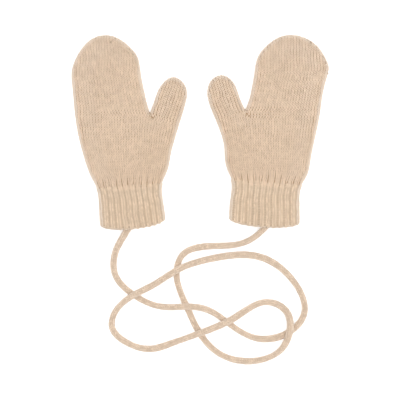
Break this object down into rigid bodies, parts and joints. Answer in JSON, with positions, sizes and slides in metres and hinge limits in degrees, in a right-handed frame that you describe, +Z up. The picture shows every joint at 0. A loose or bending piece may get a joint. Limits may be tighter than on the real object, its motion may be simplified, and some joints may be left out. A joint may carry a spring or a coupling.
{
  "type": "pair of mittens",
  "caption": "Knitted child's mittens laid flat, with rounded fingertips, side thumbs and ribbed cuffs, joined by a loosely looped knitted cord.",
  "frame": {"origin": "on the surface the pair lies on, under the middle of the two mittens' bounding box", "axes": "+X from the left mitten to the right one, +Y from the cuffs towards the fingertips, +Z up from the surface"},
  "size_m": [0.1892, 0.2423, 0.011],
  "materials": {
    "hand_knit": "matte beige stocking stitch",
    "thumb_knit": "matte beige stocking stitch",
    "cuff_rib": "matte beige 2x1 rib",
    "cord_knit": "matte beige knitted cord"
  },
  "bodies": {
    "root": {"left_hand": "hand_knit", "left_thumb": "thumb_knit", "left_cuff": "cuff_rib", "right_hand": "hand_knit", "right_thumb": "thumb_knit", "right_cuff": "cuff_rib", "cord": "cord_knit"}
  },
  "joints": []
}
